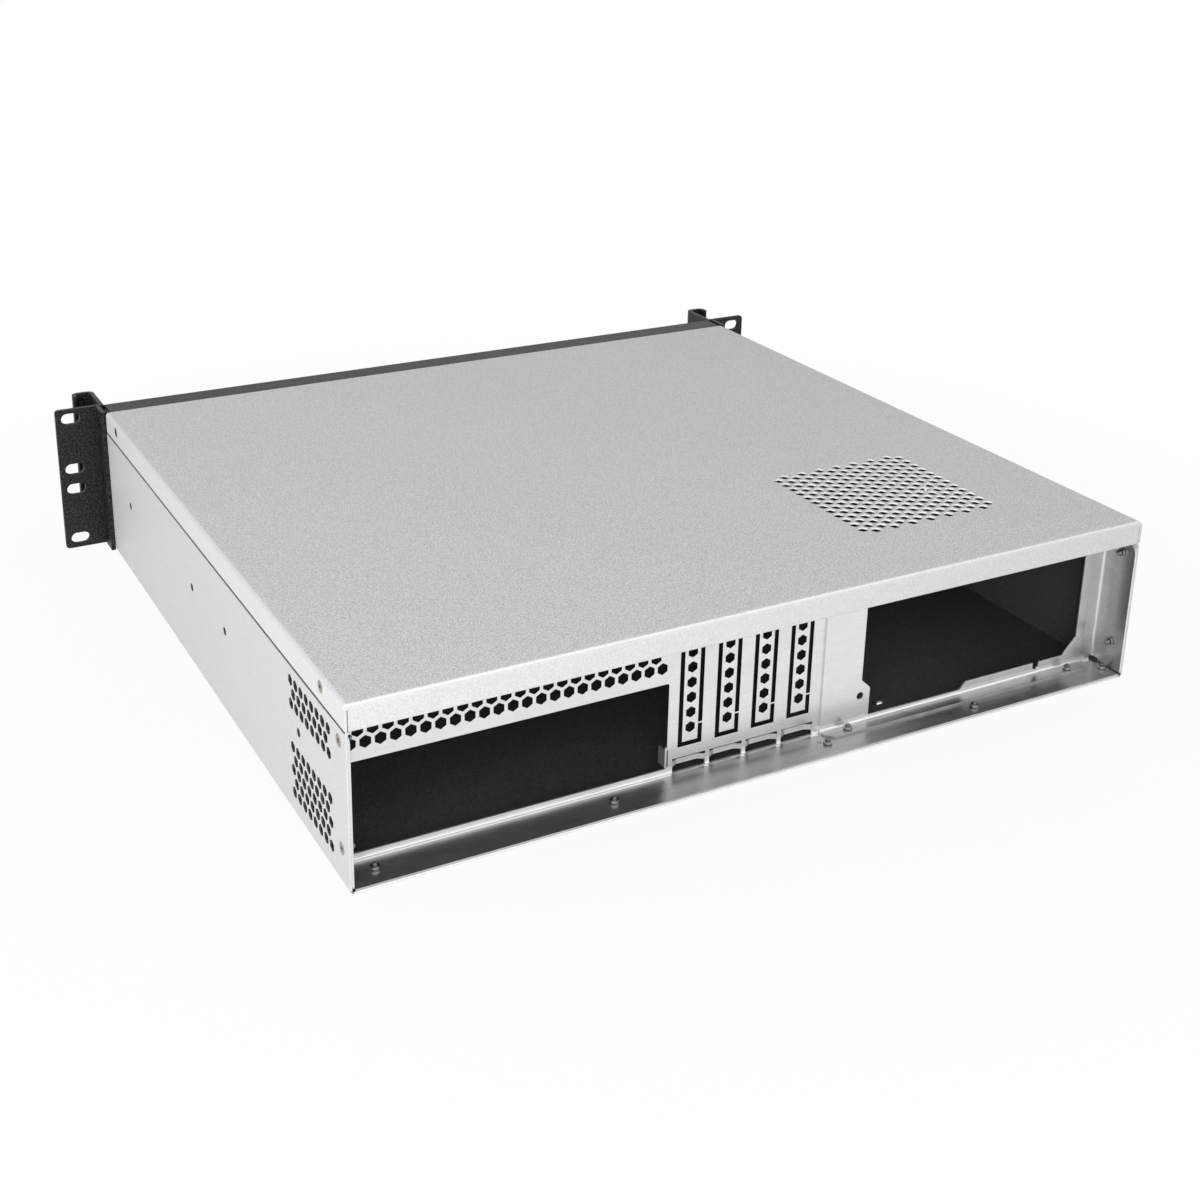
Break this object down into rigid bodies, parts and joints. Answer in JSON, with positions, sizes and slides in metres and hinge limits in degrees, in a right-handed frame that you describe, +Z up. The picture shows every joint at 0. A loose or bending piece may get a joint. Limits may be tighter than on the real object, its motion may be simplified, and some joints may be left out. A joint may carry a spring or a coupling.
{
  "type": "empty rackmount server case",
  "caption": "Empty steel rack case two units high: outer tray, lid, bare rear pan with board, card and supply openings, front wall, drive cage and rack ears with handles.",
  "frame": {"origin": "middle of the whole object's footprint, on the surface it rests on", "axes": "+X to the right seen from the front, +Y towards the rear panel, +Z up"},
  "size_m": [0.4826, 0.4346, 0.088],
  "materials": {
    "painted_steel": "fine textured grey paint",
    "bare_steel": "galvanised sheet, satin",
    "black_paint": "black textured powder paint",
    "zinc_screw": "zinc plated",
    "brown_screw": "dark plated",
    "brass_boss": "turned",
    "board_green": "lacquered circuit board",
    "black_plastic": "moulded, fine texture",
    "white_plastic": "moulded",
    "clear_lens": "polished",
    "socket_shell": "bright nickel",
    "aluminium_rivet": "satin"
  },
  "bodies": {
    "case": {"base_tray": "painted_steel", "top_cover": "painted_steel", "rear_panel": "bare_steel", "psu_plate": "bare_steel", "ear_right": "black_paint", "ear_left": "black_paint", "front_frame": "bare_steel", "front_panel": "black_paint", "fascia_bosses": "brass_boss", "fascia_screws": "brown_screw", "front_board": "board_green", "board_spacers": "brass_boss", "board_screws": "zinc_screw", "switch_housings": "black_plastic", "power_lens": "clear_lens", "drive_lens": "clear_lens", "usb_shells": "socket_shell", "usb_tongues": "black_plastic", "drive_cage": "bare_steel", "cage_rivets": "aluminium_rivet", "cross_brace": "bare_steel", "brace_rivets": "aluminium_rivet", "card_screws": "zinc_screw", "lid_screws": "brown_screw", "side_screws": "brown_screw", "floor_screws": "zinc_screw", "supply_screws": "zinc_screw", "ear_screws": "brown_screw", "ear_nuts": "zinc_screw", "press_nuts": "zinc_screw"},
    "power_body": {"power_button": "black_plastic", "power_plunger": "white_plastic"},
    "reset_body": {"reset_button": "black_plastic", "reset_plunger": "white_plastic"}
  },
  "joints": [
    {"name": "power_press", "type": "slide", "parent": "case", "child": "power_body", "axis": [0, 1, 0], "range_m": [0, 0.0015], "stiffness_N_per_m": 900},
    {"name": "reset_press", "type": "slide", "parent": "case", "child": "reset_body", "axis": [0, 1, 0], "range_m": [0, 0.0015], "stiffness_N_per_m": 900}
  ]
}
